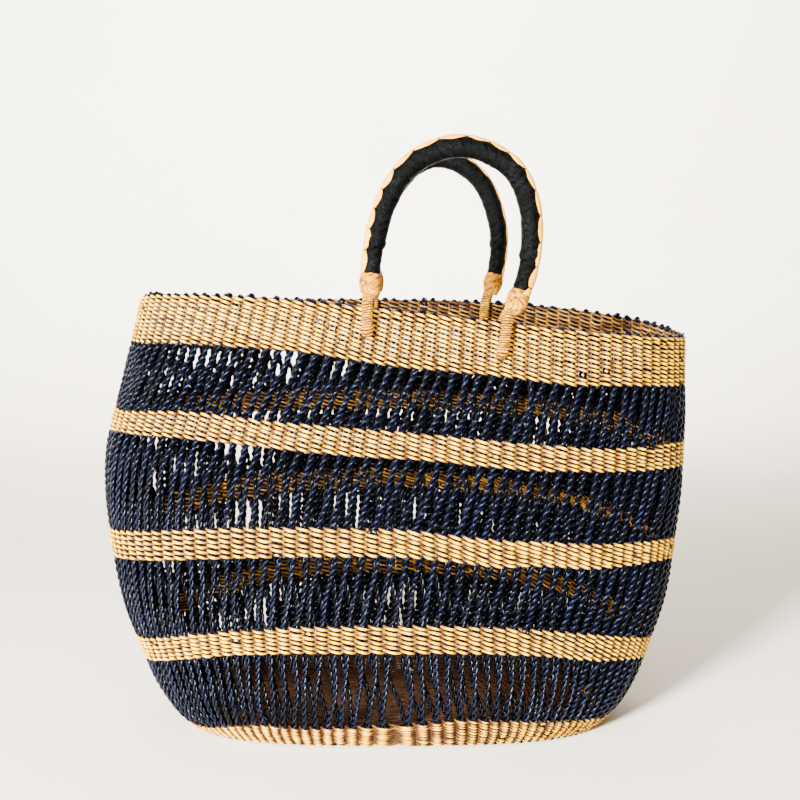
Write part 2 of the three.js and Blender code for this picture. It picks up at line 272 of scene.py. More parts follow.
class Strands:
    """Swept strands gathered into one mesh. Each add() takes arrays of shape (strand, point)."""

    def __init__(self):
        self.verts, self.quads, self.caps, self.uvs, self.cap_uvs = [], [], [], [], []
        self.floats = {"tone": [], "depth": []}
        self.fibre = []
        self.count = 0
        self.strips = 0

    def add(self, centre, across, out, sides, closed=False, tone=0.5, depth=0.0):
        """centre holds the paths (S,P,3); across and out are half-widths as vectors (S,P,3),
        and across x out points along the strand."""
        strands, points = centre.shape[:2]
        a = round_angles(sides)
        ca, sa = np.cos(a)[:, None], np.sin(a)[:, None]
        skin_points = centre[:, :, None] + across[:, :, None] * ca + out[:, :, None] * sa
        index = np.arange(strands * points * sides).reshape(strands, points, sides)
        index += self.count
        ahead = np.roll(index, -1, 1) if closed else index[:, 1:]
        here = index if closed else index[:, :-1]
        side = np.roll(here, -1, 2)
        quads = np.stack([here, side, np.roll(ahead, -1, 2), ahead], -1)
        self.quads.append(quads.reshape(-1, 4))
        steps = quads.shape[1]
        u = np.broadcast_to(np.arange(steps)[None, :, None] / steps, quads.shape[:3])
        row = self.strips + np.arange(strands)[:, None, None]
        w = row + 0.08 + 0.84 * np.arange(sides)[None, None, :] / sides + 0 * u
        du, dw = 1 / steps, 0.84 / sides
        self.uvs.append(quad_uvs((u, w), (u, w + dw), (u + du, w + dw), (u + du, w)))
        if not closed:
            ends = np.concatenate([index[:, 0, ::-1], index[:, -1]])
            self.caps.append(ends)
            middle = np.concatenate([row[:, 0, 0], row[:, 0, 0]]) + 0.5
            cap_uv = np.zeros((len(ends), sides, 2))
            cap_uv[:, :, 0] = 0.001 * (1 + np.cos(a))
            cap_uv[:, :, 1] = middle[:, None] + 0.05 * np.sin(a)
            self.cap_uvs.append((sides, cap_uv.reshape(-1, 2)))
        self.strips += strands
        length = path_length(centre) + grain_start.uniform(0, 500, (strands, 1))
        fibre = (ca[:, 0], sa[:, 0], length[:, :, None])
        fibre = np.stack([np.broadcast_to(v, (strands, points, sides)) for v in fibre], -1)
        self.fibre.append(fibre.reshape(-1, 3))
        for key, value in (("tone", tone), ("depth", depth)):
            value = np.asarray(value, float)
            if value.ndim < 3:
                value = np.broadcast_to(value, (strands, points))[:, :, None]
            self.floats[key].append(np.broadcast_to(value, (strands, points, sides)).ravel())
        self.verts.append(skin_points.reshape(-1, 3))
        self.count += strands * points * sides

    def build(self, name):
        polygons = [np.concatenate(self.quads)]
        uvs = [np.concatenate(self.uvs)]
        for sides in sorted({c.shape[1] for c in self.caps}):
            polygons.append(np.concatenate([c for c in self.caps if c.shape[1] == sides]))
            uvs.append(np.concatenate([u for k, u in self.cap_uvs if k == sides]))
        uvs = np.concatenate(uvs)
        uvs[:, 1] /= self.strips
        floats = {k: np.concatenate(v) for k, v in self.floats.items()}
        verts = np.concatenate(self.verts)
        fibre = {"fibre": np.concatenate(self.fibre)}
        return make_mesh(name, verts, polygons, uvs, floats, fibre)


def sweep_axes(centre, guide, closed=False):
    """Directions square to a path: out, nearest the guide, and across."""
    if closed:
        along = np.roll(centre, -1, -2) - np.roll(centre, 1, -2)
    else:
        along = np.gradient(centre, axis=-2)
    along = unit(along)
    out = unit(guide - (guide * along).sum(-1, keepdims=True) * along)
    return along, out, np.cross(out, along)


# ---------------------------------------------------------------- twined rows


def add_weft(strands, centre, guide, tall, thick, tone, depth):
    """One weft, all the way round. tall and thick are its half-widths across and along guide."""
    _, out, across = sweep_axes(centre[None], guide[None], closed=True)
    tall, thick = across * tall[None, :, None], out * thick[None, :, None]
    strands.add(centre[None], tall, thick, 6, closed=True, tone=tone[None], depth=depth[None])


def twined_rows(strands, heights, drift, pitch, seed, tones=(0, 1)):
    """Rows of twining. heights (row, sample) are the rows' heights at each sample round the
    basket; each row is two wefts that pass outside and inside the stakes in turn."""
    local = np.random.default_rng(seed)
    s = np.arange(COLUMNS * SAMPLES) / SAMPLES
    angle = angle_at(s + drift)
    for row_height in heights:
        point, out, _, up = wall_frame(angle, row_height)
        for weft in range(2):
            theta = math.pi * (s + 0.5 + weft)
            swing = np.sin(theta)
            plateau = signed_power(swing, PLATEAU)
            stitch = np.round(s).astype(int) % COLUMNS
            bulge = 1 + 0.13 * local.normal(size=COLUMNS)[stitch]
            height = 1 + 0.14 * local.normal(size=COLUMNS)[stitch]
            shift = 0.22 * local.normal(size=COLUMNS)[stitch] * np.abs(swing)
            tucked = np.where(local.random(COLUMNS) < TUCKED, 0.25, 1.0)[stitch]
            reach = WEFT_REACH * plateau * (0.88 + 0.12 * bulge) * tucked
            lift = pitch * 0.36 * (2 / math.pi) * np.arcsin(np.cos(theta)) + shift
            centre = point + out * reach[:, None] + up * lift[:, None]
            thick = 0.70 + 0.30 * np.abs(swing) * bulge
            tall = pitch * (0.37 - 0.075 * np.abs(swing) * height)
            tone = local.uniform(*tones, COLUMNS)[stitch]
            add_weft(strands, centre, out, tall, thick, tone, plateau)


def band_heights(low, high, rows, drift, seed, start=0.0, stop=1.0):
    """Heights of rows that share out the part from start to stop of a band."""
    local = np.random.default_rng(seed)
    n = COLUMNS * SAMPLES
    angle = angle_at(np.arange(n) / SAMPLES + drift)
    bottom, top = edge_height(low, angle), edge_height(high, angle)
    share = start + (stop - start) * (np.arange(rows)[:, None] + 0.5) / rows
    return bottom + (top - bottom) * share + 0.5 * wobble(n, (2, 3, 5, 9), local)[None]


# ---------------------------------------------------------------- two-ply cords


def add_cord(strands, path, guide, pitch, seed_rng, sides=8, thick=CORD, tones=(0, 1)):
    """Cords that follow paths (S,P,3): two plies wound round each other, right-handed. Their
    depth runs from -1 in the groove between the plies to 1 on the outside."""
    _, out, across = sweep_axes(path, guide)
    cords = len(path)
    turn = TURN * path_length(path) / pitch[:, None]
    turn = turn + seed_rng.uniform(0, TURN, (cords, 1))
    tone = seed_rng.uniform(*tones, cords)
    ply = thick * 0.26
    for half in range(2):
        angle = turn + half * math.pi
        away = out * np.cos(angle)[..., None] - across * np.sin(angle)[..., None]
        centre = path + away * (thick * 0.25)
        _, ply_out, ply_across = sweep_axes(centre, guide)
        section = round_angles(sides)
        facing = ply_across[:, :, None] * np.cos(section)[:, None]
        facing = facing + ply_out[:, :, None] * np.sin(section)[:, None]
        strands.add(
            centre,
            ply_across * ply,
            ply_out * ply,
            sides,
            tone=np.broadcast_to(tone[:, None], turn.shape),
            depth=(facing * away[:, :, None]).sum(-1),
        )


def lattice_paths(low, high, columns, start, stop, layer, points, loose, local):
    """Centre lines of cords between two bands. start and stop are the column positions of
    their ends. layer is +1 outside and -1 inside; loose is how far a cord may stray."""
    t = np.linspace(-0.05, 1.05, points)[None]
    inside = np.clip(t, 0, 1)
    belly = np.sin(math.pi * inside)
    cords = (len(columns), 1)
    gather = wobble(COLUMNS, (9, 17, 31, 43), local, 0.4)[columns][:, None]
    bow = 0.12 * local.normal(size=cords) + (0.10 if layer > 0 else 0.20) * gather
    wave = 0.07 * np.sin(TURN * inside + local.uniform(0, 6.3, cords))
    place = start[:, None] + (stop - start)[:, None] * inside + (bow + wave) * belly * loose
    angle = angle_at(place)
    bottom, top = edge_height(low, angle), edge_height(high, angle)
    point, out, _, _ = wall_frame(angle, np.maximum(bottom + (top - bottom) * t, LOWEST_CORD))
    apart = layer * (0.8 + 0.9 * np.sqrt(belly)) + 0.3 * local.normal(size=cords) * belly
    return point + out * apart[..., None], out


# ---------------------------------------------------------------- materials


class Nodes:
    """Short way to write a node material."""

    def __init__(self, name):
        self.material = bpy.data.materials.new(name)
        self.material.use_nodes = True
        self.tree = self.material.node_tree
        self.surface = self.tree.nodes["Principled BSDF"]

    def put(self, kind, inputs=None, **settings):
        node = self.tree.nodes.new("ShaderNode" + kind)
        for key, value in settings.items():
            setattr(node, key, value)
        for key, value in (inputs or {}).items():
            node.inputs[key].default_value = value
        return node

    def join(self, source, target):
        self.tree.links.new(source, target)

    def attribute(self, name, output="Fac"):
        return self.put("Attribute", attribute_name=name).outputs[output]

    def math(self, operation, a, b=None, clamp=False):
        node = self.put("Math", operation=operation, use_clamp=clamp)
        for slot, value in zip(node.inputs, (a, b)):
            if value is None:
                continue
            if isinstance(value, (int, float)):
                slot.default_value = value
            else:
                self.join(value, slot)
        return node.outputs[0]

    def weigh(self, total, value, weight, operation="ADD"):
        return self.math(operation, total, self.math("MULTIPLY", value, weight))

    def scaled(self, vector, scale):
        node = self.put("Mapping", {"Scale": scale})
        self.join(vector, node.inputs["Vector"])
        return node.outputs[0]

    def noise(self, vector, scale, detail=3.0, roughness=0.55):
        node = self.put("TexNoise", {"Scale": scale, "Detail": detail, "Roughness": roughness})
        self.join(vector, node.inputs["Vector"])
        return node.outputs["Fac"]

    def ramp(self, factor, stops):
        node = self.put("ValToRGB")
        elements = node.color_ramp.elements
        while len(elements) < len(stops):
            elements.new(0.5)
        for element, (place, colour) in zip(elements, stops):
            element.position = place
            element.color = (*colour, 1)
        self.join(factor, node.inputs[0])
        return node.outputs["Color"]

    def mix(self, factor, a, b, blend="MIX"):
        node = self.put("Mix", data_type="RGBA", blend_type=blend)
        for slot, value in ((0, factor), (6, a), (7, b)):
            if isinstance(value, (int, float)):
                node.inputs[slot].default_value = value
            elif isinstance(value, tuple):
                node.inputs[slot].default_value = (*value, 1)
            else:
                self.join(value, node.inputs[slot])
        return node.outputs[2]

    def bump(self, height, strength, distance):
        node = self.put("Bump", {"Strength": strength, "Distance": distance})
        self.join(height, node.inputs["Height"])
        self.join(node.outputs[0], self.surface.inputs["Normal"])

    def colour(self, colour):
        self.join(colour, self.surface.inputs["Base Color"])

    def specular(self, level):
        self.surface.inputs["Specular IOR Level"].default_value = level

    def roughness(self, factor, low, high):
        node = self.put("MapRange", {"To Min": low, "To Max": high})
        self.join(factor, node.inputs["Value"])
        self.join(node.outputs[0], self.surface.inputs["Roughness"])


def straw_material():
    """Dry grass: streaks along each strand, pale on the crown of a stitch as a painted highlight,
    golden brown where it turns in and along its edges as painted shade, and darker on its inner
    face as painted shade."""
    n = Nodes("natural_straw")
    fibre = n.attribute("fibre", "Vector")
    fine = n.noise(n.scaled(fibre, (1.8, 1.8, 0.09)), 1.0, 4.0)
    broad = n.noise(n.scaled(fibre, (0.5, 0.5, 0.045)), 1.0, 2.0)
    split = n.put("SeparateXYZ")
    n.join(fibre, split.inputs[0])
    # Painted shade along both edges of each strand.
    edge = n.math("POWER", n.math("ABSOLUTE", split.outputs[0]), 2.0)
    depth = n.attribute("depth")
    # Painted highlight: the crown of each stitch is made paler.
    painted_crown_highlight = n.math("POWER", n.math("MAXIMUM", depth, 0.0), 5.0)
    mixed = n.math("MULTIPLY", n.attribute("tone"), 0.22)
    mixed = n.weigh(mixed, fine, 1.15)
    mixed = n.weigh(mixed, broad, 0.45)
    mixed = n.weigh(mixed, painted_crown_highlight, 0.66)
    # Painted shade: the weft is darker where it runs on the inside of the wall.
    mixed = n.weigh(mixed, n.math("MINIMUM", depth, 0.0), 0.05)
    mixed = n.weigh(mixed, edge, 0.34, "SUBTRACT")
    mixed = n.math("SUBTRACT", mixed, 0.74, clamp=True)
    stops = [
        (0.02, (0.035, 0.014, 0.006)),
        (0.20, (0.27, 0.125, 0.016)),
        (0.46, (0.74, 0.350, 0.003)),
        (0.66, (0.98, 0.55, 0.002)),
        (0.92, (1.0, 0.86, 0.03)),
    ]
    n.colour(n.ramp(mixed, stops))
    n.roughness(fine, 0.24, 0.44)
    n.bump(fine, 0.7, 0.0006)
    n.specular(0.04)
    return n.material


def navy_material():
    """Dyed cord: near black in the grooves between the plies as painted shade, blue on top as
    painted highlight, with a gloss.
    """
    n = Nodes("navy_cord")
    fibre = n.attribute("fibre", "Vector")
    fine = n.noise(n.scaled(fibre, (2.2, 2.2, 0.14)), 1.2, 4.0)
    # Painted shade in the grooves and painted highlight on the outside of each ply.
    mixed = n.math("MULTIPLY", n.attribute("depth"), 0.30)
    mixed = n.weigh(mixed, fine, 1.5)
    mixed = n.weigh(mixed, n.attribute("tone"), 0.14)
    mixed = n.math("SUBTRACT", mixed, 0.66, clamp=True)
    stops = [
        (0.06, (0.0001, 0.00015, 0.0003)),
        (0.34, (0.0004, 0.0009, 0.0034)),
        (0.58, (0.0018, 0.0038, 0.018)),
        (0.92, (0.045, 0.060, 0.18)),
    ]
    n.colour(n.ramp(mixed, stops))
    n.roughness(fine, 0.20, 0.30)
    n.bump(fine, 0.3, 0.0005)
    n.specular(0.11)
    n.surface.inputs["Specular Tint"].default_value = (0.88, 0.90, 1.0, 1)
    return n.material


def leather_material(name, stops, rough, grain, deep, bump, gloss):
    """Leather with a fine grain and cloudy tone; creases are darker as painted shade, and the
    gathered holes take the colour deep as painted shade.
    """
    n = Nodes(name)
    place = n.put("TexCoord").outputs["Object"]
    cloud = n.noise(place, 60.0, 3.0)
    small = n.noise(place, grain, 5.0, 0.65)
    cell = n.put("TexVoronoi", {"Scale": grain * 1.1}, feature="DISTANCE_TO_EDGE")
    n.join(place, cell.inputs["Vector"])
    mixed = n.math("ADD", n.math("MULTIPLY", cloud, 0.6), n.math("MULTIPLY", small, 0.5))
    mixed = n.weigh(mixed, n.attribute("tone"), 0.25)
    # Painted shade in creases, folds and pinches.
    mixed = n.math("SUBTRACT", mixed, n.math("MULTIPLY", n.attribute("painted_crease_shade"), 0.5), clamp=True)
    colour = n.ramp(mixed, stops)
    # Painted shade: the gathered holes take the deep colour.
    n.colour(n.mix(n.attribute("painted_hole_shade"), colour, deep))
    n.roughness(small, *rough)
    relief = n.math("ADD", small, n.math("MULTIPLY", cell.outputs["Distance"], 1.2))
    n.bump(relief, bump, 0.0006)
    n.specular(gloss)
    return n.material


def rope_material(name, streak):
    """Loops and cores bound or twisted from grass."""
    n = Nodes(name)
    place = n.put("TexCoord").outputs["Object"]
    small = n.noise(place, streak, 4.0)
    cloud = n.noise(place, 150.0, 2.0)
    mixed = n.math("ADD", n.math("MULTIPLY", small, 0.9), n.math("MULTIPLY", cloud, 0.4))
    mixed = n.weigh(mixed, n.attribute("tone"), 0.2)
    # Painted shade in the grooves between the wraps.
    mixed = n.weigh(mixed, n.attribute("painted_crease_shade"), 0.8, "SUBTRACT")
    mixed = n.math("SUBTRACT", mixed, 0.09, clamp=True)
    stops = [
        (0.05, (0.03, 0.009, 0.0005)),
        (0.35, (0.20, 0.074, 0.003)),
        (0.60, (0.52, 0.23, 0.010)),
        (0.85, (0.93, 0.52, 0.05)),
    ]
    n.colour(n.ramp(mixed, stops))
    n.roughness(small, 0.45, 0.7)
    n.bump(small, 0.5, 0.0004)
    n.specular(0.04)
    return n.material


STRAW = straw_material()
NAVY = navy_material()
BLACK_LEATHER = leather_material(
    "black_leather",
    [
        (0.2, (0.0006, 0.0006, 0.0007)),
        (0.55, (0.0014, 0.0016, 0.0018)),
        (0.9, (0.009, 0.011, 0.013)),
    ],
    rough=(0.16, 0.40),
    grain=620.0,
    deep=(0.001, 0.001, 0.001),
    bump=0.9,
    gloss=0.02,
)
PALE_LEATHER = leather_material(
    "natural_leather",
    [(0.08, (0.05, 0.012, 0.001)), (0.45, (0.21, 0.070, 0.001)), (0.85, (0.82, 0.38, 0.014))],
    rough=(0.42, 0.62),
    grain=700.0,
    deep=(0.03, 0.012, 0.006),
    bump=0.25,
    gloss=0.04,
)
WRAPPED_ROPE = rope_material("wrapped_rope", 900.0)
CORE_ROPE = rope_material("core_rope", 500.0)


def finish_piece(made, material, body, node):
    made.data.materials.append(material)
    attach(made, body)
    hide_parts(node)


def finish_rows(strands, name, node):
    finish_piece(strands.build(name), STRAW, "basket", node)


def finish_cords(strands, name, node):
    finish_piece(strands.build(name), NAVY, "basket", node)


# ---------------------------------------------------------------- basket body


def row_pitch(low, high, rows):
    return (EDGES[high][0] - EDGES[low][0]) / rows


def make_bands():
    """The three narrow bands, lowest first."""
    for number, level in enumerate(("first", "second", "third")):
        low, high = level + "_low", level + "_high"
        strands = Strands()
        heights = band_heights(low, high, BAND_ROWS, DRIFT[level], 100 + number)
        pitch = row_pitch(low, high, BAND_ROWS)
        twined_rows(strands, heights, DRIFT[level], pitch, 200 + number)
        finish_rows(strands, "twined_band_" + level, f"twined_band_{number + 1}")


def make_rim_band():
    """The wide band, in two halves that share one unevenness."""
    pitch = row_pitch("rim_low", "rim_high", RIM_ROWS)
    for half, name in enumerate(("rim_band_lower", "rim_band_upper")):
        strands = Strands()
        start = half / 2
        heights = band_heights(
            "rim_low", "rim_high", RIM_ROWS // 2, DRIFT["rim"], 140, start, start + 0.5
        )
        twined_rows(strands, heights, DRIFT["rim"], pitch, 220 + half)
        finish_rows(strands, name, "rim_band")


def make_foot():
    """Foot wall, a little darker than the bands."""
    strands = Strands()
    top = edge_height("foot", angle_at(np.arange(COLUMNS * SAMPLES) / SAMPLES))
    share = (np.arange(FOOT_ROWS)[:, None] + 0.5) / FOOT_ROWS
    heights = FOOT_START + (top[None] - FOOT_START) * share
    twined_rows(strands, heights, DRIFT["foot"], 2.6, 240, tones=(-1.0, 0.3))
    finish_rows(strands, "woven_foot", "woven_base")


def make_floor_part(name, first, last):
    """Flat rows of the floor, each one further in from the foot."""
    strands = Strands()
    local = np.random.default_rng(first + 300)
    half_length, half_depth = PLANS[0, 1:3] - 3.4
    pitch, stitch_length, middle_height = 3.2, 9, 2.75
    for row in range(first, last):
        inset = pitch * row
        a, b = half_length - inset, max(half_depth - inset, 1.2)
        squareness = 2 + (PLANS[0, 4] - 2) * b / half_depth
        around = math.pi * (3 * (a + b) - math.sqrt((3 * a + b) * (a + 3 * b)))
        stitches = max(2 * round(around / (2 * stitch_length)), 10)
        s = np.arange(stitches * SAMPLES) / SAMPLES
        angle = round_angles(stitches * SAMPLES)
        x = signed_power(np.cos(angle), 2 / squareness) * a + PLANS[0, 3]
        y = signed_power(np.sin(angle), 2 / squareness) * b
        ring = np.stack([x, y, 0 * x + middle_height], -1)
        backward = unit(np.roll(ring, 1, 0) - np.roll(ring, -1, 0))
        inward = np.cross(backward, UP) * -1
        for weft in range(2):
            theta = math.pi * (s + 0.5 + weft)
            swing = np.sin(theta)
            stitch = np.round(s).astype(int) % stitches
            rough = local.uniform(0, 2.2, stitches)
            # Painted shade: the floor rows inside the basket get a darker tone.
            tone = local.uniform(-1.8, 0.0, stitches)[stitch]
            plateau = signed_power(swing, PLATEAU)
            centre = ring - UP * np.maximum(1.75 * plateau, -0.6 - rough[stitch])[:, None]
            centre = centre + inward * (pitch * 0.34 * np.cos(theta))[:, None]
            tall = pitch * (0.26 + 0.22 * np.abs(swing))
            thick = 0.6 + 0.35 * np.abs(swing)
            add_weft(strands, centre, 0 * centre - UP, tall, thick, tone, plateau)
    finish_rows(strands, name, "woven_base")


# Open lattices, lowest first: low edge, high edge, level below, level above. Then, for the
# outer and the inner cords: place in the column at the bottom and at the top, how many columns
# they lean on the way up, and the change of that lean toward the right end.
LATTICES = [
    ("foot", "first_low", "foot", "first", (0.06, 0.06, 0.9, 0.2), (-0.06, 0, -0.6, 0.4)),
    ("first_high", "second_low", "first", "second", (0, 0, 1.5, 0.6), (0.4, 0.45, -0.4, 0.7)),
    ("second_high", "third_low", "second", "third", (0, 0, 1.9, 0.1), (0.45, 0.45, 0.3, 0.2)),
    ("third_high", "rim_low", "third", "rim", (0, 0, 2.1, -0.3), (0.45, 0.45, 0.4, 0)),
]
EVERY = np.arange(COLUMNS)
FACING = angle_at(EVERY)
BEHIND = np.sin(FACING) > 0.2
# Toward the back, extra inner cords stand close together; dark as painted shade, they stand in
# for the shade seen through the back wall. Place in the column, and columns.
CLOSE_SET = [
    (0.12, EVERY[BEHIND & (np.cos(FACING) > -0.45)]),
    (0.78, EVERY[BEHIND]),
]


class Run:
    """Cords of one kind in a lattice: columns, places at the bottom and the top, and looks."""

    def __init__(self, columns, first, last, thick=CORD, loose=1.0, tones=(0, 1)):
        self.columns, self.first, self.last = columns, first, last
        self.thick, self.loose, self.tones = thick, loose, tones


def lattice_runs(layer, at_bottom, at_top, lean, turn):
    """The runs of a layer; the cords of the inner one are darker, as painted shade, and the
    close-set ones darker still.
    """
    # Inner cords get a lower tone: painted shade.
    tones = (0, 1) if layer > 0 else (-1.3, -0.1)
    last = at_top + (lean + turn * np.cos(FACING))
    runs = [Run(EVERY, at_bottom, last, tones=tones)]
    if layer < 0:
        for place, columns in CLOSE_SET:
            # Thick extra cords with a near-black tone: painted shade.
            runs.append(Run(columns, place, place, CORD * 1.5, 0.3, (-2.4, -1.2)))
    return runs


def make_lattices():
    for number, (low, high, below, above, outer, inner) in enumerate(LATTICES):
        points = int(EDGES[high][0] - EDGES[low][0]) + 2
        for layer, word, places in ((1, "outer", outer), (-1, "inner", inner)):
            local = np.random.default_rng(400 + 10 * number + layer)
            strands = Strands()
            for run in lattice_runs(layer, *places):
                start = run.columns + run.first + DRIFT[below]
                stop = run.columns + run.last + DRIFT[above]
                path, guide = lattice_paths(
                    low, high, run.columns, start, stop, layer, points, run.loose, local
                )
                pitch = TWIST * (1 + 0.09 * local.normal(size=len(path)))
                add_cord(strands, path, guide, pitch, local, 7, run.thick, run.tones)
            node = f"open_lattice_{number + 1}"
            finish_cords(strands, f"{node}_{word}_cords", node)


def make_stakes():
    """Stakes hidden in the bands: short upright pairs that show as dark slits in the rows."""
    strands = Strands()
    t = np.linspace(0, 1, 6)[None]
    for level in ("foot", "first", "second", "third", "rim"):
        for offset in (-0.2, 0.2):
            angle = angle_at(EVERY[:, None] + offset + DRIFT[level] + 0 * t)
            if level == "foot":
                bottom, top = 3.0, edge_height("foot", angle)
            else:
                bottom = edge_height(level + "_low", angle)
                top = edge_height(level + "_high", angle)
            point, out, _, _ = wall_frame(angle, bottom + (top - bottom) * t)
            _, normal, across = sweep_axes(point, out)
            strands.add(point, across * 2.1, normal * 1.6, 6, tone=0.4, depth=0.0)
    finish_cords(strands, "stakes_in_bands", "rim_band")


# A turned-down cord end: sideways in columns, up from the rim's edge, and out from the middle
# of the wall.
TUCK = [
    (-0.20, -3.0, -0.2), (-0.16, -0.8, 0.5), (-0.06, 0.5, 0.8), (0.07, 0.8, 0.4),
    (0.18, 0.2, -0.5), (0.26, -1.2, -1.0), (0.28, -3.2, -0.8),
]


def make_edging():
    """Cord ends turned down along the rim, one in each column."""
    strands = Strands()
    local = np.random.default_rng(610)
    knots = np.arange(len(TUCK))
    where = np.linspace(0, knots[-1], 15)
    aside, above, outward = (np.interp(where, knots, v)[None] for v in np.array(TUCK).T)
    size = 1 + 0.22 * local.normal(size=(COLUMNS, 1))
    s = EVERY[:, None] + aside * size + DRIFT["rim"] + 0.05 * local.normal(size=(COLUMNS, 1))
    angle = angle_at(s)
    point, out, _, up = wall_frame(angle, edge_height("rim_high", angle))
    sunk = 0.7 * local.normal(size=(COLUMNS, 1)) - 0.2
    lift = above * size + np.minimum(sunk, 0.5)
    path = point + up * lift[..., None] + out * (outward + 0 * s)[..., None]
    guide = unit(up + out * 0.3)
    add_cord(strands, path, guide, np.full(COLUMNS, 9.0), local, thick=3.7)
    finish_cords(strands, "rim_edging_cords", "rim_edging")


make_bands()
make_rim_band()
make_foot()
make_floor_part("woven_floor_outer", 0, 12)
make_floor_part("woven_floor_inner", 12, 29)
make_lattices()
make_stakes()
make_edging()

# ---------------------------------------------------------------- handles

# Arches seen from the front: sideways and up from the middle of the hinge line.
FRONT_ARCH = [
    (-50, 7.9), (-50, 24), (-46.5, 49), (-38.5, 76), (-25, 97.5), (-7, 109.5), (13, 113.8),
    (33, 109), (51, 96.5), (60.7, 76), (63.4, 56), (62.2, 36), (58, 17.2), (49.9, -2.9),
]
BACK_ARCH = [
    (-49.7, 2.8), (-51.5, 17), (-52.6, 34), (-50.8, 52), (-44.4, 70), (-33.8, 89), (-20, 105),
    (-4, 113.6), (12, 112.8), (27.5, 105), (40.5, 91.5), (48.6, 73), (52.8, 54), (53, 38),
    (50.6, 21), (46.8, 1.2),
]
HINGE_X = 32.5  # middle of both hinge lines
HINGE_HALF_SPAN = 50
HINGE_ABOVE = 2  # from the top of the edging up to the hinge line
EDGING_HEIGHT = 3
CAP_LENGTH = 18.5
CAP_FLOOR = 7.5  # where the grip starts inside a cap
CAP_HOLE = 11.2  # height of the gathered hole in a cap
CAP_ROUND = 7.6  # radius that turns angles round a cap into lengths
# Where the loops pass through the rim: sideways from the middle of the hinge, and down.
LOOP_HOLES = {"left": (-52.5, 23), "right": (41.5, 28)}
LOOP_SHIFT = {"left": -1.6, "right": -2.6}  # sideways, where a loop leaves its cap
LOOP_HALF_GAP = (6.6, 6.7)  # from the wall's middle to a leg, under the cap and lower down
LOOP_BEND = 3.3  # radius of a leg's turn into the wall
LOOP_HALF_SIZE = (3.95, 2.75)  # across and deep
STITCH = 15.4  # between the stitches of the strip


def smooth_path(points, step):
    """Centripetal curve through points, with points evenly spaced along it."""
    p = np.asarray(points, float)
    p = np.vstack([2 * p[0] - p[1], p, 2 * p[-1] - p[-2]])
    pieces = []
    for i in range(1, len(p) - 2):
        p0, p1, p2, p3 = p[i - 1 : i + 3]
        d0, d1, d2 = (math.sqrt(np.linalg.norm(b - a)) for a, b in ((p0, p1), (p1, p2), (p2, p3)))
        t1 = (p1 - p0) / d0 - (p2 - p0) / (d0 + d1) + (p2 - p1) / d1
        t2 = (p2 - p1) / d1 - (p3 - p1) / (d1 + d2) + (p3 - p2) / d2
        t1, t2 = t1 * d1, t2 * d1
        t = np.linspace(0, 1, 40, endpoint=False)[:, None]
        a, b = 2 * p1 - 2 * p2 + t1 + t2, -3 * p1 + 3 * p2 - 2 * t1 - t2
        pieces.append(a * t**3 + b * t**2 + t1 * t + p1)
    line = np.vstack(pieces + [p[-2:-1]])
    reach = path_length(line)
    count = max(int(reach[-1] / step), 4)
    where = np.linspace(0, reach[-1], count)
    return np.stack([np.interp(where, reach, line[:, k]) for k in range(line.shape[1])], 1), where


def rim_middle(x, side, below):
    """Middle of the wall at x, some way below the top of the edging, and the way out."""

    def angle_of(z):
        across = (x - plan_value(3, z)) / plan_value(1, z)
        return side * np.arccos(signed_power(across, plan_value(4, z) / 2))

    z = edge_height("rim_high", angle_of(EDGES["rim_high"][0])) + EDGING_HEIGHT - below
    angle = angle_of(z)
    out = flat_normal(angle, z)
    return wall_raw(angle, z) - HALF_WALL * out, out


def leather_radius(s, length):
    """Radius of a plain grip, at length s along its arch."""
    return 6.3 + 1.3 * np.sin(math.pi * np.clip(s / length, 0.0001, 0.9999)) ** 0.7


def crease_field(s, a, seed, terms, waves, lobes):
    """Wrinkle heights over length s and angle a, 0 to 1, sharp at the valleys."""
    local = np.random.default_rng(seed)
    total = np.zeros(np.broadcast(s, a).shape)
    for _ in range(terms):
        wave = local.uniform(*waves)
        turn = int(local.integers(*lobes)) * (1 if local.random() < 0.5 else -1)
        warp = 0.7 * np.sin(TURN * s / local.uniform(14, 30) + local.uniform(0, 6.3))
        phase = TURN * s / wave + turn * a + local.uniform(0, 6.3) + warp
        total += np.abs(np.sin(phase / 2))
    return total / terms


def skin(name, rings, floats=None):
    """Closed skin through rings of points (ring, side, 3), with flat ends."""
    count, sides = rings.shape[:2]
    index = np.arange(count * sides).reshape(count, sides)
    side = np.roll(index, -1, 1)
    quads = np.stack([index[:-1], side[:-1], side[1:], index[1:]], -1).reshape(-1, 4)
    ends = np.stack([index[0, ::-1], index[-1]])
    u = np.arange(sides) / sides
    v = np.linspace(0.02, 0.9, count)
    du = 1 / sides
    uu, v0 = np.meshgrid(u, v[:-1])
    v1 = np.meshgrid(u, v[1:])[1]
    uv = quad_uvs((uu, v0), (uu + du, v0), (uu + du, v1), (uu, v1))
    round_uv = np.stack([0.5 + 0.03 * np.cos(u * 6.283), 0.95 + 0.03 * np.sin(u * 6.283)], -1)
    uvs = np.concatenate([uv, round_uv, round_uv])
    floats = {k: f.ravel() for k, f in (floats or {}).items()}
    return make_mesh(name, rings.reshape(-1, 3), [quads, ends], uvs, floats)


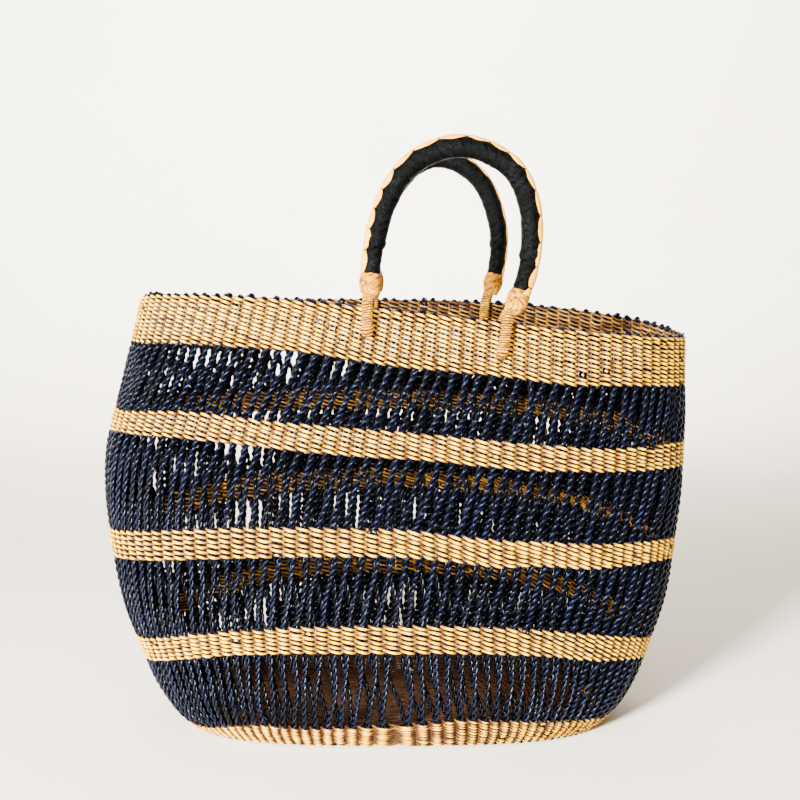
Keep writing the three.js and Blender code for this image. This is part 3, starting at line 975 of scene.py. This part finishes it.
class Arch:
    """Centre line of a handle, and points round it."""

    def __init__(self, side, points):
        left = rim_middle(HINGE_X - HINGE_HALF_SPAN, side, -HINGE_ABOVE)[0]
        right = rim_middle(HINGE_X + HINGE_HALF_SPAN, side, -HINGE_ABOVE)[0]
        turn = math.atan2(right[1] - left[1], right[0] - left[0])
        self.side = side
        self.ahead = np.array([math.cos(turn), math.sin(turn), 0])
        self.through = np.array([-math.sin(turn), math.cos(turn), 0])
        flat, self.reach = smooth_path(points, 0.7)
        self.length = self.reach[-1]
        middle = (left + right) / 2
        self.line = middle + flat[:, :1] * self.ahead + flat[:, 1:] * UP
        self.along = unit(np.gradient(self.line, axis=0))
        self.outer = unit(np.cross(self.along, self.through)) * -1
        if self.outer[len(self.outer) // 2] @ UP <= 0:
            self.outer = -self.outer

    def rings(self, stations, angles, radius):
        """Points round the arch; angle 0 is outward from it, a quarter turn is through it."""
        centre = np.stack([np.interp(stations, self.reach, v) for v in self.line.T], -1)
        out = unit(np.stack([np.interp(stations, self.reach, v) for v in self.outer.T], -1))
        ca, sa = np.cos(angles)[..., None], np.sin(angles)[..., None]
        if angles.ndim == 1:
            ca, sa = ca[None], sa[None]
        return centre[:, None] + radius[..., None] * (out[:, None] * ca + self.through * sa)


def make_grip(arch, body, seed):
    """Rolled leather with creases, and a fold above each cap."""
    length = arch.length
    a = round_angles(72)
    stations = np.linspace(CAP_FLOOR + 1, length - CAP_FLOOR - 1, int(length / 0.6))
    ss, aa = np.meshgrid(stations, a, indexing="ij")
    lumps = crease_field(ss, aa, seed, 5, (17, 34), (0, 3)) - 0.6
    broad = crease_field(ss, aa, seed + 1, 4, (7, 15), (2, 5)) - 0.6
    fine = crease_field(ss, aa, seed + 2, 5, (3.5, 11), (3, 9))
    valley = np.clip(0.62 - fine, 0, 1)
    plain = leather_radius(ss, length)
    radius = plain + 0.25 + 0.9 * lumps + 0.35 * broad - 1.0 * valley
    for place, tilt, way in ((37, 1.6, 1), (length - 40, -1.4, -1)):
        gap = way * (ss - place - tilt * np.cos(aa - 0.8) - 0.8 * np.sin(2 * aa))
        radius += 0.75 * np.exp(-(((gap - 3.4) / 3.0) ** 2))
        radius -= 0.55 * np.exp(-(((gap + 0.6) / 1.3) ** 2))
        radius -= 0.45 / (1 + np.exp(gap / 0.8))
    seam_gap = np.abs((aa + math.pi) % TURN - math.pi)
    radius = np.where(seam_gap < 0.9, np.minimum(radius, plain + 0.15), radius)
    # Painted shade in the valleys of the fine wrinkles.
    painted_crease_shade = {"painted_crease_shade": np.clip(valley * 5, 0, 1)}
    grip = skin(f"{body}_grip", arch.rings(stations, a, radius), painted_crease_shade)
    finish_piece(grip, BLACK_LEATHER, body, f"{body}_leather")


def make_strip(arch, body, seed):
    """Pale strip laced over the seam on the outside of the arch. Toward the right cap of the
    front handle it turns to the front."""
    length = arch.length
    st = np.linspace(CAP_LENGTH - 3, length - CAP_LENGTH + 3, int(length / 0.5))
    beat = np.abs(np.sin(math.pi * (st / STITCH + 0.16 * np.sin(st / 17 + seed))))
    half = np.radians(11 + 26 * beat**0.75) * (1 + 0.10 * np.sin(st / 7.3 + seed))
    across = np.linspace(-1, 1, 17)
    top = across[None] * half[:, None]
    near_end = np.clip((st - length + 62) / 50, 0, 1) ** 2
    upright = np.abs(np.cos(math.pi * st / length))
    front_turn = -0.06 - 0.34 * upright - 0.42 * near_end
    turned = front_turn if arch.side < 0 else 0.24 + 0 * near_end
    base = leather_radius(st, length)[:, None]
    pinch = np.exp(-((beat / 0.13) ** 2))[:, None]
    cross = np.exp(-(((top / half[:, None]) / 0.5) ** 2))
    puff = 0.35 + 0.85 * (1 - np.abs(across[None]) ** 2.4) * (0.7 + 0.3 * beat[:, None])
    puff = puff - 0.45 * pinch * cross
    under = top[:, ::-1] * 0.96
    angles = np.concatenate([top, under], 1) + turned[:, None]
    radius = np.concatenate([base + puff, base - 0.5 + 0 * under], 1)
    # Painted shade where the lacing pinches the strip.
    shade = np.concatenate([pinch + 0 * top, 0 * under], 1)
    looks = {"painted_crease_shade": shade, "tone": 1 + 0 * shade}
    piece = skin(f"{body}_strip", arch.rings(st, angles, radius), looks)
    finish_piece(piece, PALE_LEATHER, body, f"{body}_piping")


def cap_profile(length):
    """Heights above a cap's floor, and its radius at each."""
    heights = np.concatenate(
        [[0.2, 0.0, 0.0], np.linspace(0.35, CAP_LENGTH - 0.4, 64), [CAP_LENGTH, CAP_LENGTH]]
    )
    size = 6.6 + 1.5 * np.sin(math.pi * np.clip(heights / 19.5, 0, 1)) ** 0.8
    size = size - 0.7 * np.clip((heights - 13) / 6, 0, 1)
    size = size - 1.3 * np.clip((8 - heights) / 8, 0, 1)
    size[0], size[1], size[2] = 2.0, 3.9, 4.9
    size[-2:] = size[-3] - 0.25, leather_radius(CAP_LENGTH, length) - 1.2
    return heights, size


def make_cap(arch, body, end, seed, local):
    """Leather cup over the end of the grip, gathered round a small hole on each face."""
    a = round_angles(96)
    heights, size = cap_profile(arch.length)
    hh, aa = np.meshgrid(heights, a, indexing="ij")
    radius = size[:, None] + 0 * aa
    painted_crease_shade = 0 * radius
    painted_hole_shade = 0 * radius
    for face, depth in ((-math.pi / 2, 1.0), (math.pi / 2, 0.8)):
        aim = face + (0.43 if end == "left" else -0.42) * (1 if arch.side < 0 else -0.5)
        u = ((aa - aim + math.pi) % TURN - math.pi) * CAP_ROUND
        v = hh - CAP_HOLE
        rho, psi = np.hypot(u, v), np.arctan2(v, u)
        fade = np.exp(-rho / 5.0) * (1 - np.exp(-((rho / 1.6) ** 2)))
        fade = fade * np.clip((CAP_LENGTH - 1 - hh) / 4, 0, 1) * (0.55 + 0.45 * np.cos(psi + 0.6))
        spread = psi + 0.5 * np.sin(psi + local.uniform(0, 6))
        pleat = np.abs(np.sin(4 * spread + 0.3 * rho + local.uniform(0, 6)))
        radius += depth * fade * (1.7 * pleat - 1.0)
        radius -= depth * 1.9 * np.exp(-(rho**2))
        # Painted shade in the valleys between the pleats.
        painted_crease_shade += fade * np.clip(1 - 2.0 * pleat, 0, 1) * 2.6
        # Painted shade filling the gathered hole.
        painted_hole_shade += np.exp(-((rho / 0.9) ** 2))
        flap = (v * 0.8 + u * 0.62) + 4.4
        radius += 0.55 * depth * (1 / (1 + np.exp(-flap / 0.22)) - 1) * np.exp(-((u / 9) ** 4))
    # Small wrinkle dents, also darkened as painted shade.
    wrinkle_dents = np.clip(0.6 - crease_field(hh, aa, seed + 9, 5, (3, 7), (1, 6)), 0, 1)
    radius -= 0.6 * wrinkle_dents
    painted_crease_shade += 1.6 * wrinkle_dents
    radius = np.minimum(radius, size[:, None] + 0.1)
    inside = np.clip(hh / 1.5, 0, 1) * np.clip((CAP_LENGTH + 0.01 - hh) / 0.8, 0.0, 1)
    radius = size[:, None] + (radius - size[:, None]) * inside
    stations = heights
    if end == "right":
        stations = (arch.length - heights)[::-1]
        radius, painted_crease_shade, painted_hole_shade = radius[::-1], painted_crease_shade[::-1], painted_hole_shade[::-1]
    looks = {"painted_crease_shade": np.clip(painted_crease_shade, 0, 1), "painted_hole_shade": np.clip(painted_hole_shade, 0, 1)}
    cap = skin(f"{body}_cap_cup_{end}", arch.rings(stations, a, radius), looks)
    finish_piece(cap, PALE_LEATHER, body, f"{body}_cap_{end}")


def make_loop(arch, body, end, local):
    """Wrapped grass loop from the cap, through the rim, and back."""
    hole_x, drop = LOOP_HOLES[end]
    hole, out = rim_middle(HINGE_X + hole_x, arch.side, drop - HINGE_ABOVE)
    tip, way = (0, 1) if end == "left" else (-1, -1)
    rise = arch.along[tip] * way
    neck = arch.line[tip] - rise * 0.3
    up = unit(neck - hole)
    level = unit(out - up * (out @ up))
    neck_level = unit(out - rise * (out @ rise))
    height = np.linalg.norm(neck - hole)
    shift = arch.ahead * LOOP_SHIFT[end]
    legs = []
    for sign in (1, -1):
        leg = [neck + neck_level * sign * 3.0 + rise * 5, neck + neck_level * sign * 3.9]
        leg[1] += shift * 0.8
        leg.append(hole + level * sign * LOOP_HALF_GAP[0] + up * (height - 5) + shift)
        leg.append(hole + level * sign * LOOP_HALF_GAP[1] + up * height * 0.5 + shift * 0.6)
        for bend in range(6):
            swing = bend / 5 * math.pi / 2
            reach = LOOP_HALF_GAP[1] - LOOP_BEND * (1 - math.cos(swing))
            leg.append(hole + level * sign * reach + up * LOOP_BEND * (1 - math.sin(swing)))
        legs.append(leg)
    path, run = smooth_path(np.array(legs[0] + legs[1][::-1]), 0.2)
    forward = unit(np.gradient(path, axis=0))
    wide = np.cross(level, up)
    level_wide = unit(wide - forward * (forward @ wide)[:, None])
    deep = np.cross(forward, level_wide)
    a = round_angles(28)
    wraps = run[:, None] / 1.7 - a[None] / math.pi
    crossing = run[:, None] / 2.1 + a[None] / math.pi
    which = np.floor(wraps).astype(int)
    thickness = local.normal(size=which.max() - which.min() + 1)[which - which.min()]
    ridge = np.sqrt(np.abs(np.sin(math.pi * wraps)))
    ridge = ridge * (0.72 + 0.28 * np.sqrt(np.abs(np.sin(math.pi * crossing))))
    swell = 0.89 + 0.15 * ridge + 0.015 * thickness
    ca, sa = np.cos(a)[None, :, None], np.sin(a)[None, :, None]
    ring = path[:, None] + swell[..., None] * (
        level_wide[:, None] * ca * LOOP_HALF_SIZE[0] + deep[:, None] * sa * LOOP_HALF_SIZE[1]
    )
    # Painted shade between the wraps, from the ridge.
    looks = {"painted_crease_shade": 1 - ridge**2, "tone": 0.5 + 0.25 * thickness}
    rope = skin(f"{body}_rope_{end}", ring, looks)
    rope.data.materials.append(WRAPPED_ROPE)
    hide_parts(f"{body}_loop_{end}")
    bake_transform(rope)


def build_handle(side, body, arch_points, seed):
    """All the pieces of one handle. side is -1 at the front and 1 at the back."""
    arch = Arch(side, arch_points)
    make_grip(arch, body, seed)
    make_strip(arch, body, seed)
    for end in ("left", "right"):
        local = np.random.default_rng(seed + 5 + (end == "right"))
        make_cap(arch, body, end, seed, local)
        make_loop(arch, body, end, local)
    core = bpy.data.objects[f"{body}_core"]
    core.data.materials.clear()
    core.data.materials.append(CORE_ROPE)


build_handle(-1, "front_handle", FRONT_ARCH, 700)
build_handle(1, "back_handle", BACK_ARCH, 720)

# ---------------------------------------------------------------- floor, light, camera


def backdrop():
    """Floor that curves up into a wall behind."""
    depth = [(-3.5, 0.0), (1.4, 0.0)]
    for k in range(1, 13):
        a = k / 12 * math.pi / 2
        depth.append((1.4 + 0.6 * math.sin(a), 0.6 - 0.6 * math.cos(a)))
    depth.append((2.0, 3.5))
    verts, faces = [], []
    for y, z in depth:
        verts += [(-4.0, y, z), (4.0, y, z)]
    for k in range(len(depth) - 1):
        faces.append((2 * k, 2 * k + 1, 2 * k + 3, 2 * k + 2))
    mesh = bpy.data.meshes.new("backdrop")
    mesh.from_pydata(verts, [], faces)
    mesh.polygons.foreach_set("use_smooth", np.ones(len(faces), bool))
    made = add_object("backdrop", mesh)
    n = Nodes("backdrop_cloth")
    place = n.put("TexCoord").outputs["Object"]
    stops = [(0.3, (0.86, 0.80, 0.71)), (0.7, (0.92, 0.865, 0.78))]
    n.colour(n.ramp(n.noise(place, 2.5, 4.0), stops))
    n.surface.inputs["Roughness"].default_value = 0.9
    made.data.materials.append(n.material)


backdrop()


def hang_lamp(data, place, target, power, colour):
    data.energy = power
    data.color = colour
    lamp = add_object(data.name, data)
    lamp.location = place
    lamp.rotation_euler = (Vector(target) - Vector(place)).to_track_quat("-Z", "Y").to_euler()


def area_light(name, place, target, size, power, colour=(1, 1, 1)):
    data = bpy.data.lights.new(name, "AREA")
    data.shape = "DISK"
    data.size = size
    hang_lamp(data, place, target, power, colour)


def wall_light():
    """Soft spot that passes over the basket to the wall behind."""
    data = bpy.data.lights.new("wall", "SPOT")
    data.spot_size = math.radians(46)
    data.spot_blend = 1.0
    data.shadow_soft_size = 0.4
    hang_lamp(data, (0, -1.5, 3.0), (0, 2.0, 0.9), 3000, (1.0, 0.97, 0.93))


def studio_world():
    world = bpy.data.worlds.new("studio")
    world.use_nodes = True
    background = world.node_tree.nodes["Background"]
    background.inputs["Color"].default_value = (0.95, 0.97, 1.0, 1)
    background.inputs["Strength"].default_value = 0.08
    bpy.context.scene.world = world


def place_camera():
    """At the photograph's height and distance, a little above the rim and looking down."""
    data = bpy.data.cameras.new("camera")
    data.lens = 66.7
    data.sensor_width = 36
    camera = add_object("camera", data)
    camera.location = (0.003, -1.150, 0.376)
    camera.rotation_euler = (math.radians(90 - 6.4), 0, 0)
    bpy.context.scene.camera = camera


area_light("key", (-1.15, -2.4, 0.95), (0, 0, 0.2), 0.5, 740, (1.0, 0.975, 0.92))
area_light("fill", (-2.0, -1.6, 1.0), (0, 0, 0.2), 1.6, 30, (0.97, 0.98, 1.0))
area_light("top", (0, -1.2, 2.8), (0, 0, 0), 1.6, 46)
wall_light()
studio_world()
place_camera()
